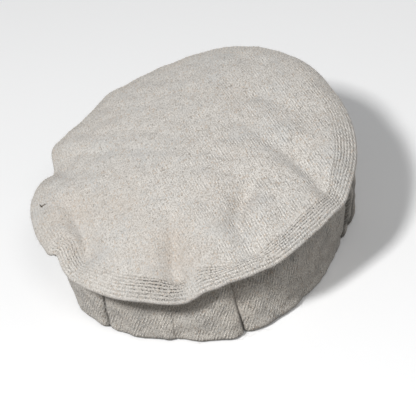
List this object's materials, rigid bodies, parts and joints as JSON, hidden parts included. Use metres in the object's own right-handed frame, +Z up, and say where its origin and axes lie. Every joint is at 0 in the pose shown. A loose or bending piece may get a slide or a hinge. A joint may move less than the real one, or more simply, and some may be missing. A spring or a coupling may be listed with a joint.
{
  "type": "pakol",
  "caption": "Soft round wool hat with a wide stitched disc crown and a thick side rolled up around an open head hole.",
  "frame": {"origin": "middle of the hat's bounding box, on the surface that the rolled side stands on", "axes": "+Z up through the crown, the wearer faces -Y, the wearer's right is -X"},
  "size_m": [0.2546, 0.2564, 0.0962],
  "materials": {
    "crown_wool": "matte felted wool, heathered oatmeal",
    "side_wool": "matte felted wool, heathered oatmeal"
  },
  "bodies": {
    "root": {"crown": "crown_wool", "rolled_side": "side_wool"}
  },
  "joints": []
}
